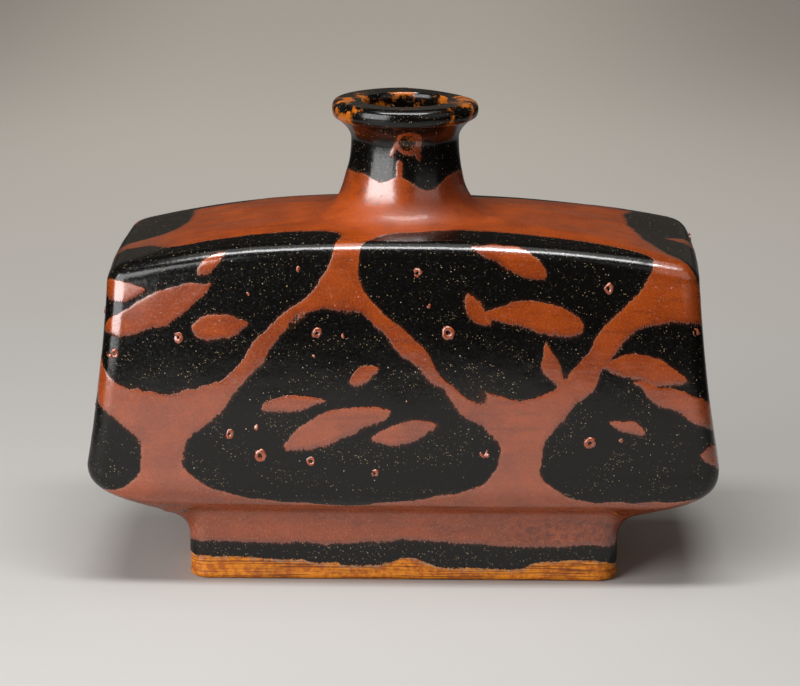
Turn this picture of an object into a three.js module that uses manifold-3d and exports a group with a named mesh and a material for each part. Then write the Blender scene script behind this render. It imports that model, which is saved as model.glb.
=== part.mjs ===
// Flattened stoneware vase, built as a potter builds it: two press-moulded halves luted
// along an upright seam, a thrown neck with a rolled lip, and a foot of four slab strips.
// Millimetres, +Z up. The origin is on the table, under the middle of the foot.
// The front half faces -Y.
import * as THREE from "three";
import { mergeVertices } from "three/addons/utils/BufferGeometryUtils.js";
import Module from "manifold-3d";

const wasm = await Module();
wasm.setup();

// Body
const BODY_WIDTH = 264.5; // at its widest line, low on the body
const BODY_DEPTH = 114; // at the same line, through the middle of the faces
const WIDEST_HEIGHT = 52; // height of the widest line above the table
const SHOULDER_WIDTH = 245.5; // where the walls reach the rolled top edge
const SHOULDER_DEPTH = 106;
const EDGE_HEIGHT = 148.5; // top of the rolled edge, at the middle of the long sides
const EDGE_RADIUS = 7.5; // roll of the top edge
const EDGE_DROP = 11; // how much lower the top edge lies at the two ends
const EDGE_DROP_POWER = 2.4; // how late along the edge that drop comes
const ROOF_RISE = 3.5; // crown of the shoulder from its edge to the neck
const CORNER_RADIUS = 8; // upright corners, seen from above
const FACE_BOW = 3.5; // crown of the two broad faces, seen from above
const END_BOW = 1.5; // crown of the two narrow ends, seen from above
const END_FLARE = 1.4; // how far the ends draw in below a straight line at mid height
const FACE_SWELL = 2.4; // how far the broad faces stand out past a straight line at mid height
const WALL = 7; // pressed clay wall
const SLIP = 0.3; // layer of slip in every luted joint

// Coil pressed along the inside of the seam
const SEAM_COIL_THICKNESS = 3.2;
const SEAM_COIL_WIDTH = 18;
const SEAM_COIL_TRIM = 2; // how far it stops short of the hole under the neck

// Foot
const FOOT_WIDTH = 180.5;
const FOOT_DEPTH = 78;
const FOOT_HEIGHT = 25.5; // at its two ends
const FOOT_WALL = 10;
const FOOT_CORNER_RADIUS = 9;
const FOOT_EDGE_RADIUS = 3; // worn bottom edge
const FOOT_COIL_DROP = 7; // how far the joint coil is smoothed down the foot
const FOOT_COIL_SPREAD = 5.5; // and out under the body
const FOOT_COIL_RIM = 0.6; // thickness of its lower edge
const UNDERSIDE_MARGIN = 4; // flat underside outside the foot
const FACE_LIFT = 6.8; // how much higher the underside meets the foot along the broad faces
const FACE_LIFT_POWER = 10; // how late round the ends that lift comes
const FACE_LIFT_FADE = 4; // how fast it is lost on the way up to the widest line

// Neck and lip
const NECK_WAIST_RADIUS = 23;
const NECK_WAIST_RISE = 33; // from the top edge of the body up to the waist
const NECK_FLARE_HEIGHT = 8.5; // from the waist up to the lip
const NECK_BASE_RADIUS = 30;
const NECK_BORE_RADIUS = 17; // at the waist
const NECK_HOLE_RADIUS = 20; // hole cut in the shoulder
const COLLAR_SPREAD = 7.5; // how far the coil at the neck's base runs out over the shoulder
const COLLAR_HEIGHT = 11; // how far that coil is smoothed up the neck
const LIP_SEAT_RADIUS = 28.5;
const LIP_OVERHANG = 2.3; // how far the lip rolls out past its seat
const LIP_THICKNESS = 7.9;
const LIP_DISH = 0.4; // how far the top of the lip falls towards the mouth
const MOUTH_RADIUS = 17;

// Levels and radii that follow from these
const neckWaist = EDGE_HEIGHT + NECK_WAIST_RISE;
const lipSeat = neckWaist + NECK_FLARE_HEIGHT;
const vaseTop = lipSeat + SLIP + LIP_THICKNESS;
const lipRadius = LIP_SEAT_RADIUS + LIP_OVERHANG;
const collarRadius = NECK_BASE_RADIUS + COLLAR_SPREAD;
const neckRoot = EDGE_HEIGHT - WALL; // level inside the shoulder where the neck's outline starts
const footHalfWidth = FOOT_WIDTH / 2;
const footHalfDepth = FOOT_DEPTH / 2;

// Facets
const ARC_STEPS = 5; // on each upright corner
const LONG_SIDE_STEPS = 10;
const SHORT_SIDE_STEPS = 5;
const UNDERSIDE_STEPS = 7;
const WALL_STEPS = 6;
const EDGE_STEPS = 5;
const ROOF_STEPS = 4;
const TURN_STEPS = 40; // round the neck
const CURVE_STEPS = 4; // along each curve of the neck and lip

const rustGlaze = new THREE.MeshStandardMaterial({ color: 0x9c4a2a, roughness: 0.3 });
const blackGlaze = new THREE.MeshStandardMaterial({ color: 0x141110, roughness: 0.2 });
const bareClay = new THREE.MeshStandardMaterial({ color: 0xb5722a, roughness: 0.8 });

const vase = new THREE.Group();
vase.name = "flattened_vase";

// Solids

function solidOf(geometry) {
  geometry.deleteAttribute("normal");
  geometry.deleteAttribute("uv");
  const merged = mergeVertices(geometry);
  const mesh = new wasm.Mesh({
    numProp: 3,
    vertProperties: new Float32Array(merged.attributes.position.array),
    triVerts: new Uint32Array(merged.index.array),
  });
  return new wasm.Manifold(mesh);
}

function addPiece(name, solid, material) {
  const mesh = solid.getMesh();
  const geometry = new THREE.BufferGeometry();
  geometry.setAttribute("position", new THREE.BufferAttribute(mesh.vertProperties, 3));
  geometry.setIndex(new THREE.BufferAttribute(mesh.triVerts, 1));
  geometry.computeVertexNormals();
  const piece = new THREE.Mesh(geometry, material);
  piece.name = name;
  vase.add(piece);
}

// A closed solid through level rings of equal count, listed from the lowest to the highest.
function loft(rings) {
  const count = rings[0].length;
  const points = rings.flat();
  const middle = (ring) =>
    ring.reduce((sum, p) => sum.add(p), new THREE.Vector3()).divideScalar(count);
  const floor = points.push(middle(rings[0])) - 1;
  const roof = points.push(middle(rings[rings.length - 1])) - 1;
  const lastRing = (rings.length - 1) * count;
  const faces = [];
  for (let j = 0; j < count; j++) {
    const next = (j + 1) % count;
    for (let below = 0; below < lastRing; below += count) {
      const above = below + count;
      faces.push(below + j, below + next, above + j);
      faces.push(below + next, above + next, above + j);
    }
    faces.push(floor, next, j);
    faces.push(roof, lastRing + j, lastRing + next);
  }
  return solidOf(new THREE.BufferGeometry().setFromPoints(points).setIndex(faces));
}

// A closed outline of radius and height, turned about the vase's axis.
function turned(outline) {
  const profile = outline.getPoints(CURVE_STEPS);
  return solidOf(new THREE.LatheGeometry(profile, TURN_STEPS).rotateX(Math.PI / 2));
}

// An upright block of any plan, from one height to another.
function block(plan, bottom, top) {
  const extent = { depth: top - bottom, bevelEnabled: false };
  const geometry = new THREE.ExtrudeGeometry(new THREE.Shape(plan), extent);
  return solidOf(geometry.translate(0, 0, bottom));
}

// A rounded rectangle, anticlockwise from above.
function roundedRectangle(halfWidth, halfDepth, radius) {
  const r = Math.min(radius, halfWidth / 2, halfDepth / 2);
  const turns = [
    [1, 1],
    [-1, 1],
    [-1, -1],
    [1, -1],
  ];
  const arcs = turns.map(([sx, sy], corner) => {
    const arc = [];
    for (let i = 0; i <= ARC_STEPS; i++) {
      const angle = (Math.PI / 2) * (corner + i / ARC_STEPS);
      const x = sx * (halfWidth - r) + r * Math.cos(angle);
      const y = sy * (halfDepth - r) + r * Math.sin(angle);
      arc.push(new THREE.Vector2(x, y));
    }
    return arc;
  });
  return arcs.flatMap((arc, corner) => {
    const from = arc[ARC_STEPS];
    const to = arcs[(corner + 1) % arcs.length][0];
    const steps = corner % 2 === 0 ? LONG_SIDE_STEPS : SHORT_SIDE_STEPS;
    const side = [];
    for (let i = 1; i < steps; i++) side.push(from.clone().lerp(to, i / steps));
    return [...arc, ...side];
  });
}

// Body form

const halfAt = (full, inset) => full / 2 - inset;
const liftShare = (through) => Math.abs(through) ** FACE_LIFT_POWER;

// One level of the body: a rounded rectangle whose sides bow out in the middle, with its ends
// lowered by a share of the top edge's drop, and its faces raised by the underside's lift.
function bodyLevel(level) {
  const { z, halfWidth, halfDepth, radius, lowered } = level;
  const { bow = 1, lift = 0, rise = 0, spread = 1 } = level;
  return roundedRectangle(halfWidth, halfDepth, radius).map(({ x, y }) => {
    const across = x / halfWidth;
    const through = y / halfDepth;
    const bowedX = x - bow * END_BOW * across * through * through;
    const bowedY = y - bow * FACE_BOW * through * across * across;
    const outward = Math.abs((2 * spread * bowedX) / SHOULDER_WIDTH);
    const drop = EDGE_DROP * lowered * outward ** EDGE_DROP_POWER;
    const height = z + rise - drop + lift * liftShare(through);
    return new THREE.Vector3(spread * bowedX, spread * bowedY, height);
  });
}

// The whole body as one closed form, its skin moved inwards by inset. The cavity is the
// same form moved in by the wall, and a joint's clearance is the form moved out by the slip.
function bodyForm(inset) {
  const radius = Math.max(CORNER_RADIUS - inset, EDGE_RADIUS);
  const wideWidth = halfAt(BODY_WIDTH, inset);
  const wideDepth = halfAt(BODY_DEPTH, inset);
  const topWidth = halfAt(SHOULDER_WIDTH, inset);
  const topDepth = halfAt(SHOULDER_DEPTH, inset);
  const edgeTop = EDGE_HEIGHT - inset;
  const wallTop = edgeTop - EDGE_RADIUS;
  const levels = [];

  // Underside: from the foot out and up to the widest line.
  const baseZ = FOOT_HEIGHT + inset;
  const climb = WIDEST_HEIGHT - baseZ;
  const baseRadius = FOOT_CORNER_RADIUS + UNDERSIDE_MARGIN;
  const under = (base, wide, reach) =>
    new THREE.CubicBezierCurve(
      new THREE.Vector2(base, baseZ),
      new THREE.Vector2(base + reach * (wide - base), baseZ + 0.42 * climb),
      new THREE.Vector2(wide, baseZ + 0.5 * climb),
      new THREE.Vector2(wide, WIDEST_HEIGHT),
    );
  const underEnds = under(footHalfWidth + UNDERSIDE_MARGIN, wideWidth, 0.72);
  const underFaces = under(footHalfDepth + UNDERSIDE_MARGIN, wideDepth, 0.85);
  for (let i = 0; i < UNDERSIDE_STEPS; i++) {
    const t = i / UNDERSIDE_STEPS;
    const end = underEnds.getPoint(t);
    const face = underFaces.getPoint(t);
    levels.push({
      z: end.y,
      halfWidth: end.x,
      halfDepth: face.x,
      radius: THREE.MathUtils.lerp(baseRadius, radius, t),
      lowered: 0,
      bow: t,
      lift: FACE_LIFT * (1 - t) ** FACE_LIFT_FADE,
    });
  }

  // Walls: the ends draw in above the widest line, and the faces swell.
  for (let i = 0; i < WALL_STEPS; i++) {
    const t = i / WALL_STEPS;
    const belly = 4 * t * (1 - t);
    levels.push({
      z: THREE.MathUtils.lerp(WIDEST_HEIGHT, wallTop, t),
      halfWidth: THREE.MathUtils.lerp(wideWidth, topWidth, t) - END_FLARE * belly,
      halfDepth: THREE.MathUtils.lerp(wideDepth, topDepth, t) + FACE_SWELL * belly,
      radius,
      lowered: t * t,
    });
  }

  // Rolled top edge.
  for (let i = 0; i <= EDGE_STEPS; i++) {
    const angle = (Math.PI / 2) * (i / EDGE_STEPS);
    const drawnIn = EDGE_RADIUS * (1 - Math.cos(angle));
    levels.push({
      z: wallTop + EDGE_RADIUS * Math.sin(angle),
      halfWidth: topWidth - drawnIn,
      halfDepth: topDepth - drawnIn,
      radius: Math.max(radius - drawnIn, EDGE_RADIUS / 2),
      lowered: 1,
    });
  }

  // Crowned shoulder, shrinking to the middle.
  const edge = levels[levels.length - 1];
  for (let i = 1; i < ROOF_STEPS; i++) {
    const spread = 1 - i / ROOF_STEPS;
    levels.push({ ...edge, spread, rise: ROOF_RISE * (1 - spread * spread) });
  }
  return loft(levels.map(bodyLevel));
}

const bodySkin = bodyForm(0);
const bodyClearance = bodyForm(-SLIP);
const cavity = bodyForm(WALL);
const neckHole = (radius) =>
  solidOf(
    new THREE.CylinderGeometry(radius, radius, vaseTop, TURN_STEPS)
      .rotateX(Math.PI / 2)
      .translate(0, 0, WIDEST_HEIGHT + vaseTop / 2),
  );

// Everything on one side of the seam, front or back.
function seamSide(direction) {
  const depth = BODY_DEPTH;
  const geometry = new THREE.BoxGeometry(2 * BODY_WIDTH, depth, 2 * vaseTop);
  return solidOf(geometry.translate(0, direction * (depth / 2 + SLIP / 2), 0));
}

function addHalves() {
  const shell = bodySkin.subtract(cavity).subtract(neckHole(NECK_HOLE_RADIUS));
  addPiece("front_half", shell.intersect(seamSide(-1)), rustGlaze);
  addPiece("back_half", shell.intersect(seamSide(1)), rustGlaze);
}

function addSeamCoil() {
  const outside = bodyForm(WALL + SLIP);
  const inside = bodyForm(WALL + SLIP + SEAM_COIL_THICKNESS);
  const band = solidOf(new THREE.BoxGeometry(2 * BODY_WIDTH, SEAM_COIL_WIDTH, 2 * vaseTop));
  const coil = outside.subtract(inside).intersect(band);
  addPiece("seam_coil", coil.subtract(neckHole(NECK_HOLE_RADIUS + SEAM_COIL_TRIM)), bareClay);
}

// Neck

// Outside of the neck, from its root up to the lip, moved out by a clearance.
function neckOutside(path, clearance) {
  const base = NECK_BASE_RADIUS + clearance;
  const waist = NECK_WAIST_RADIUS + clearance;
  const seat = LIP_SEAT_RADIUS + clearance;
  path.lineTo(base, EDGE_HEIGHT);
  path.quadraticCurveTo(waist, EDGE_HEIGHT + NECK_WAIST_RISE / 2, waist, neckWaist);
  path.quadraticCurveTo(waist, neckWaist + NECK_FLARE_HEIGHT / 2, seat, lipSeat);
}

function addNeck() {
  const bore = NECK_BORE_RADIUS;
  const outline = new THREE.Path();
  outline.moveTo(NECK_HOLE_RADIUS, neckRoot);
  outline.lineTo(NECK_BASE_RADIUS, neckRoot);
  neckOutside(outline, 0);
  outline.lineTo(MOUTH_RADIUS, lipSeat);
  outline.quadraticCurveTo(bore, lipSeat, bore, neckWaist);
  outline.quadraticCurveTo(bore, EDGE_HEIGHT, NECK_HOLE_RADIUS, neckRoot);
  addPiece("neck", turned(outline).subtract(bodyClearance), blackGlaze);
}

// Coil worked into the corner between neck and shoulder.
function addNeckCollar() {
  const roof = EDGE_HEIGHT + ROOF_RISE;
  const top = roof + COLLAR_HEIGHT;
  const outline = new THREE.Path();
  outline.moveTo(0, neckRoot);
  outline.lineTo(collarRadius, neckRoot);
  outline.lineTo(collarRadius, EDGE_HEIGHT);
  outline.quadraticCurveTo(NECK_BASE_RADIUS, roof, NECK_WAIST_RADIUS, top);
  outline.lineTo(0, top);
  outline.lineTo(0, neckRoot);
  const neckSpace = new THREE.Path();
  neckSpace.moveTo(0, neckRoot - SLIP);
  neckSpace.lineTo(NECK_BASE_RADIUS + SLIP, neckRoot - SLIP);
  neckOutside(neckSpace, SLIP);
  neckSpace.lineTo(0, lipSeat);
  neckSpace.lineTo(0, neckRoot - SLIP);
  const collar = turned(outline).subtract(turned(neckSpace)).subtract(bodyClearance);
  addPiece("neck_collar", collar, rustGlaze);
}

function addLip() {
  const low = lipSeat + SLIP;
  const middle = low + LIP_THICKNESS / 2;
  const mouthTop = vaseTop - LIP_DISH;
  const outline = new THREE.Path();
  outline.moveTo(MOUTH_RADIUS, low);
  outline.lineTo(LIP_SEAT_RADIUS, low);
  outline.quadraticCurveTo(lipRadius, low, lipRadius, middle);
  outline.quadraticCurveTo(lipRadius, vaseTop, lipRadius - LIP_THICKNESS / 2, vaseTop);
  outline.lineTo(MOUTH_RADIUS + LIP_THICKNESS / 3, mouthTop);
  outline.quadraticCurveTo(MOUTH_RADIUS, mouthTop, MOUTH_RADIUS, middle);
  outline.lineTo(MOUTH_RADIUS, low);
  addPiece("lip", turned(outline), blackGlaze);
}

// Foot

function footLevel(z, outset, lift = 0) {
  const radius = FOOT_CORNER_RADIUS + outset;
  const halfDepth = footHalfDepth + outset;
  const ring = roundedRectangle(footHalfWidth + outset, halfDepth, radius);
  return ring.map(({ x, y }) => new THREE.Vector3(x, y, z + lift * liftShare(y / halfDepth)));
}

// The four strips of the foot, mitred at the corners and cut to the underside on top.
function addFoot() {
  const bevel = FOOT_EDGE_RADIUS * (1 - Math.SQRT1_2);
  const outside = loft([
    footLevel(0, -FOOT_EDGE_RADIUS),
    footLevel(bevel, -bevel),
    footLevel(FOOT_EDGE_RADIUS, 0),
    footLevel(WIDEST_HEIGHT, 0),
  ]);
  const corner = ([sx, sy], outset) =>
    new THREE.Vector2(sx * (footHalfWidth + outset), sy * (footHalfDepth + outset));
  const corners = [
    [-1, -1],
    [1, -1],
    [1, 1],
    [-1, 1],
  ];
  const span = [-WIDEST_HEIGHT, 2 * WIDEST_HEIGHT];
  const well = block(corners.map((c) => corner(c, -FOOT_WALL)), ...span);
  const frame = outside.subtract(well).subtract(bodyClearance);

  // Each cutting block reaches past both faces of its strip and stops short of the mitres.
  ["front", "right", "back", "left"].forEach((side, i) => {
    const from = corners[i];
    const to = corners[(i + 1) % corners.length];
    const along = corner(to, 0).sub(corner(from, 0)).setLength(SLIP / Math.SQRT2);
    const plan = [
      corner(from, FOOT_WALL).add(along),
      corner(to, FOOT_WALL).sub(along),
      corner(to, -FOOT_WALL - SLIP).sub(along),
      corner(from, -FOOT_WALL - SLIP).add(along),
    ];
    const strip = frame.intersect(block(plan, ...span));
    addPiece(`foot_${side}_strip`, strip, rustGlaze);
  });
}

// Coil worked into the corner between foot and underside.
function addFootCoil() {
  const low = FOOT_HEIGHT - FOOT_COIL_DROP;
  const rim = FOOT_COIL_RIM + SLIP;
  const levels = [];
  for (let i = 0; i <= CURVE_STEPS; i++) {
    const t = i / CURVE_STEPS;
    const z = THREE.MathUtils.lerp(low, FOOT_HEIGHT, t);
    levels.push(footLevel(z, rim + FOOT_COIL_SPREAD * t * t, FACE_LIFT));
  }
  levels.push(footLevel(WIDEST_HEIGHT, rim + FOOT_COIL_SPREAD));
  const stem = loft([footLevel(0, SLIP), footLevel(2 * WIDEST_HEIGHT, SLIP)]);
  addPiece("foot_coil", loft(levels).subtract(stem).subtract(bodyClearance), rustGlaze);
}

addHalves();
addSeamCoil();
addNeck();
addNeckCollar();
addLip();
addFoot();
addFootCoil();

export default vase;
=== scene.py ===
"""A flattened stoneware vase in rust and black iron glazes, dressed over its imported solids.

The glazed skin of the whole vase is one grid: rows climb from the foot to the mouth, and columns
run round it. Every piece is a slice of that grid, closed behind with hidden faces, so the glaze
crosses the joints between pieces without a break, as it does on a fired pot.
Sizes are in millimetres until a mesh is made. Meshes are in metres.
"""

import itertools
import math

import bmesh
import bpy
import numpy as np
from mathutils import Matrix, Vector


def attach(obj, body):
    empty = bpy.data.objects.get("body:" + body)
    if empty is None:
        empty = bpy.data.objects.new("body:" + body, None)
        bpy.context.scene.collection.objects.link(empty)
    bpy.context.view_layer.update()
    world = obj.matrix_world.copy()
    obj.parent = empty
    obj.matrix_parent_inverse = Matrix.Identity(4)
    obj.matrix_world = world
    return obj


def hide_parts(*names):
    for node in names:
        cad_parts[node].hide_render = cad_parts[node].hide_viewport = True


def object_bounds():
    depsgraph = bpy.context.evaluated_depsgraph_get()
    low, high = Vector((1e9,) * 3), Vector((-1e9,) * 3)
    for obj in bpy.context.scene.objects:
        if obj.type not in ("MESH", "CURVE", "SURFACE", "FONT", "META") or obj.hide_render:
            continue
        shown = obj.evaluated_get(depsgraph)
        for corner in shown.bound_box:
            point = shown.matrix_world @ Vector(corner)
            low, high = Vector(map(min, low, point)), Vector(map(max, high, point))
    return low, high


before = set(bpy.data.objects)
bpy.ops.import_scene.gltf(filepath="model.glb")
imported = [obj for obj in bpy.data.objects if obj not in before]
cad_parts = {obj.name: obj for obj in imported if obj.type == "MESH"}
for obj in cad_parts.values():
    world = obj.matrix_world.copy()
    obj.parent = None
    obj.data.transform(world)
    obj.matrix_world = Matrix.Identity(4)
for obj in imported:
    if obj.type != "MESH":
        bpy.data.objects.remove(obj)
cad_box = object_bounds()

METRES = 0.001

# Form of the vase, as in its solids

BODY_HALF = np.array([264.5, 114]) / 2
WIDEST_HEIGHT = 52
SHOULDER_WIDTH = 245.5
SHOULDER_HALF = np.array([SHOULDER_WIDTH, 106]) / 2
EDGE_HEIGHT = 148.5
EDGE_RADIUS = 7.5
EDGE_DROP = 11
EDGE_DROP_POWER = 2.4
ROOF_RISE = 3.5
ROOF_POWER = 5
CORNER_RADIUS = 8
FACE_BOW = 3.5
END_BOW = 1.5
END_FLARE = 1.4
FACE_SWELL = 2.4
WALL = 7
FOOT_HALF = np.array([180.5, 78]) / 2
FOOT_HEIGHT = 25.5
FOOT_WALL = 10
FOOT_CORNER_RADIUS = 9
FOOT_EDGE_RADIUS = 3
LEAST_RADIUS = 0.8
JOINT_GAP = 0.3
UNDERSIDE_MARGIN = 4
FACE_LIFT = 6.8
FACE_LIFT_POWER = 10
FACE_LIFT_FADE = 4
NECK_WAIST_RADIUS = 23
NECK_WAIST_HEIGHT = 181.5
NECK_BASE_RADIUS = 30
NECK_BORE_RADIUS = 17
NECK_BORE_BEND = 162
NECK_HOLE_RADIUS = 20
NECK_HOLE_GAP = 0.4
LIP_SEAT_HEIGHT = 190
LIP_SEAT_RADIUS = 28.5
LIP_RADIUS = 30.8
LIP_MIDDLE = 194.25
VASE_TOP = 198.2
LIP_DISH = 0.4
MOUTH_RADIUS = 17
MOUTH_ROLL = 1.6
COLLAR_RADIUS = 37.5
COLLAR_BEND_RADIUS = 28.6
COLLAR_BEND_RISE = 0.9
COLLAR_TOP = 163

# Bends of the underside's curve: how far out over the ends and the faces, and how far up
UNDERSIDE_OUT = np.array([0.72, 0.85])
UNDERSIDE_UP = (0.42, 0.5)

# The foot's joint coil: its lowest level, its bend, and where it stops on the underside's curve
COIL_LOW = 17
COIL_BEND_OUT = 0.3
COIL_BEND_DROP = 0.5
COIL_REACH = 0.08

# How finely the skin is divided

FACE_COLUMNS = 300
END_COLUMNS = 72
CORNER_COLUMNS = 16
FOOT_ROWS = (9, 5, 4, 7, 20)
FILLET_ROWS = 12
UNDERSIDE_ROWS = 32
WALL_ROWS = 118
EDGE_ROWS = 13
ROOF_ROWS = 44
COLLAR_ROWS = 20
NECK_ROWS = (26, 14)
LIP_ROWS = (9, 9, 10, 7, 4)
BORE_ROWS = (6, 12)
INNER_STEP = 8
ROUND_STEP = 2

# Relief of the glaze, and how deep the faces behind it lie

SKIN_INSET = 0.6
LIP_INSET = 0.2
RUST_RELIEF = 0.08
CLAY_STEP = 0.35
HIDDEN_DEPTH = 2
UNDER_RISE = 1.5

# Unevenness of the pressed body, the neck's root and the rolled lip

LEFT_FROM = 55
LEFT_FULL = 128
LEFT_SAG = 1.8
LEFT_SAG_FROM = 70
LEFT_LIFT = 1.6
LEFT_LIFT_HEIGHT = 40
LEFT_LIFT_SPREAD = 14
NECK_LEAN = 1.0
NECK_LEAN_SPREAD = 8
LIP_FLAT = 0.5
LIP_SAG = 1.3
LIP_DIP = 0.2
LIP_PINCH = 0.5
# Waves of the pinched lip: size, number round the lip and start
LIP_WAVES = ((0.3, 5, 0.8), (0.2, 3, -1))

# Noise layers: strength, cell and seed

AROUND_NOISE = ((5.0, 46, 14), (1.2, 8, 2), (0.5, 3.5, 3))
UPWARD_NOISE = ((2.8, 24, 4), (1.2, 8, 5), (0.5, 3.5, 6))
RELIEF_NOISE = ((0.3, 34, 11), (0.08, 13, 12), (0.03, 4, 13))
LIP_PATCHES = ((0.55, 6, 7), (0.35, 2.6, 8))
HASH_PRIMES = np.array([73856093, 19349663, 83492791])
HASH_SEED_PRIME = 40503
HASH_MIXES = ((15, 2246822519), (13, 3266489917))
HASH_MASK = 0xFFFFFFFF
HASH_LOW_BITS = 0xFFFF


def lerp(start, end, share):
    return start + (end - start) * share


def smooth(low, high, value):
    """0 at low, 1 at high, and an even slope between."""
    share = np.clip((value - low) / (high - low), 0, 1)
    return share * share * (3 - 2 * share)


def hump(value, middle, width):
    """1 at the middle, falling off evenly to both sides."""
    return np.exp(-(((value - middle) / width) ** 2))


def bend(start, control, end, share):
    """A point on a quadratic curve."""
    return (1 - share) ** 2 * start + 2 * share * (1 - share) * control + share**2 * end


def cubic(a, b, c, d, share):
    """A value on a cubic curve."""
    rest = 1 - share
    return rest**3 * a + 3 * rest**2 * share * b + 3 * rest * share**2 * c + share**3 * d


def steps(count):
    """Shares from just above 0 up to 1."""
    return [(k + 1) / count for k in range(count)]


def noise(points, cell, seed):
    """Smooth noise from -1 to 1, with features about one cell across."""
    grid = np.asarray(points) / cell
    base = np.floor(grid).astype(np.int64)
    part = grid - base
    part = part * part * (3 - 2 * part)
    total = np.zeros(grid.shape[:-1])
    for corner in itertools.product((0, 1), repeat=3):
        code = np.bitwise_xor.reduce((base + np.array(corner)) * HASH_PRIMES, axis=-1)
        code = (code ^ seed * HASH_SEED_PRIME) & HASH_MASK
        for bits, factor in HASH_MIXES:
            code = (code ^ code >> bits) * factor & HASH_MASK
        value = ((code ^ code >> 16) & HASH_LOW_BITS) / (HASH_LOW_BITS / 2) - 1
        total += value * np.prod(np.where(corner, part, 1 - part), axis=-1)
    return total


def layered(points, layers):
    """Sum of several noises."""
    return sum(strength * noise(points, cell, seed) for strength, cell, seed in layers)


# The skin's columns


def ring_columns():
    """For each column, its place on the straight core of a rounded rectangle and its outward
    direction. Columns run clockwise from above and start in the middle of the right end."""
    corners = np.array([(1, -1), (-1, -1), (-1, 1), (1, 1)], float)
    side_counts = [FACE_COLUMNS, END_COLUMNS, FACE_COLUMNS, END_COLUMNS]
    core, outward = [], []
    for index, count in enumerate(side_counts):
        for k in range(CORNER_COLUMNS):
            angle = -math.pi / 2 * (index + k / CORNER_COLUMNS)
            core.append(corners[index])
            outward.append((math.cos(angle), math.sin(angle)))
        angle = -math.pi / 2 * (index + 1)
        for k in range(count):
            core.append(lerp(corners[index], corners[(index + 1) % 4], k / count))
            outward.append((math.cos(angle), math.sin(angle)))
    shift = END_COLUMNS // 2
    return np.roll(core, shift, axis=0), np.roll(outward, shift, axis=0)


core, outward = ring_columns()
COLUMNS = len(core)
FRONT_MIDDLE = END_COLUMNS // 2 + CORNER_COLUMNS + FACE_COLUMNS // 2


def rounded_ring(half, radius):
    return core * (half - radius) + outward * radius


def corner_radius(inset):
    return max(CORNER_RADIUS - inset, EDGE_RADIUS)


def edge_drop(x):
    return EDGE_DROP * np.abs(2 * x / SHOULDER_WIDTH) ** EDGE_DROP_POWER


def lift_share(through):
    """How much of the underside's lift a place has: all along the faces, none along the ends."""
    return np.abs(through) ** FACE_LIFT_POWER


def body_ring(z, half, radius, lowered, bow=1.0, lift=0.0):
    """One level of the body: a rounded rectangle with crowned sides, lower at its two ends."""
    flat = rounded_ring(half, radius)
    across, through = (flat / half).T
    x = flat[:, 0] - bow * END_BOW * across * through**2
    y = flat[:, 1] - bow * FACE_BOW * through * across**2
    height = z - lowered * edge_drop(x) + lift * lift_share(through)
    return np.stack([x, y, height], axis=1)


def underside_ring(share, inset=0.0):
    wide = BODY_HALF - inset
    base = FOOT_HALF + UNDERSIDE_MARGIN
    base_z = FOOT_HEIGHT + inset
    half = cubic(base, lerp(base, wide, UNDERSIDE_OUT), wide, wide, share)
    bends = [lerp(base_z, WIDEST_HEIGHT, up) for up in UNDERSIDE_UP]
    z = cubic(base_z, *bends, WIDEST_HEIGHT, share)
    radius = lerp(FOOT_CORNER_RADIUS + UNDERSIDE_MARGIN, corner_radius(inset), share)
    lift = FACE_LIFT * (1 - share) ** FACE_LIFT_FADE
    return body_ring(z, half, radius, 0, share, lift)


def wall_ring(share, inset=0.0):
    belly = 4 * share * (1 - share)
    half = lerp(BODY_HALF - inset, SHOULDER_HALF - inset, share)
    half = half + np.array([-END_FLARE, FACE_SWELL]) * belly
    z = lerp(WIDEST_HEIGHT, EDGE_HEIGHT - inset - EDGE_RADIUS, share)
    return body_ring(z, half, corner_radius(inset), share**2)


def edge_ring(share, inset=0.0):
    angle = share * math.pi / 2
    drawn_in = EDGE_RADIUS * (1 - math.cos(angle))
    z = EDGE_HEIGHT - inset - EDGE_RADIUS + EDGE_RADIUS * math.sin(angle)
    radius = max(corner_radius(inset) - drawn_in, EDGE_RADIUS / 2)
    return body_ring(z, SHOULDER_HALF - inset - drawn_in, radius, 1)


top_ring = edge_ring(1)
column_angle = np.arctan2(top_ring[:, 1], top_ring[:, 0])
turn = np.stack([np.cos(column_angle), np.sin(column_angle)], axis=1)
# Bearings of the columns seen from the neck's axis, from 0 at the front
bearing = (column_angle + math.pi * 1.5) % (2 * math.pi) - math.pi


def round_row(radius, z):
    """A level of the turned neck, on the same columns."""
    return np.column_stack([radius * turn, np.full(COLUMNS, z, float)])


def roof_spread(xy, inset):
    """How far out a point of the roof lies, from 0 at the neck's axis to about 1 at the edge."""
    half = SHOULDER_HALF - inset - EDGE_RADIUS
    return np.sum(np.abs(xy / half) ** ROOF_POWER, axis=1) ** (1 / ROOF_POWER)


def roof_row(radius, share, inset=0.0):
    """A roof level between the rolled edge and a circle round the neck."""
    edge = edge_ring(1, inset)[:, :2]
    xy = lerp(edge, radius * turn, share)
    spread = roof_spread(xy, inset) / roof_spread(edge, inset)
    z = EDGE_HEIGHT - inset + ROOF_RISE * (1 - spread**2) - edge_drop(xy[:, 0])
    return np.column_stack([xy, z])


def foot_ring(outset, z, lift=0.0):
    half = FOOT_HALF + outset
    flat = rounded_ring(half, max(FOOT_CORNER_RADIUS + outset, LEAST_RADIUS))
    return np.column_stack([flat, z + lift * lift_share(flat[:, 1] / half[1])])


# The skin's rows, from the inside of the foot up to the neck's bore

rows = []
mark = {}


def add_rows(name, new_rows):
    rows.extend(new_rows)
    mark[name] = len(rows) - 1


def between(after, until):
    """Rows above one mark of the skin, up to another."""
    return slice(mark[after] + 1, mark[until] + 1)


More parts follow.
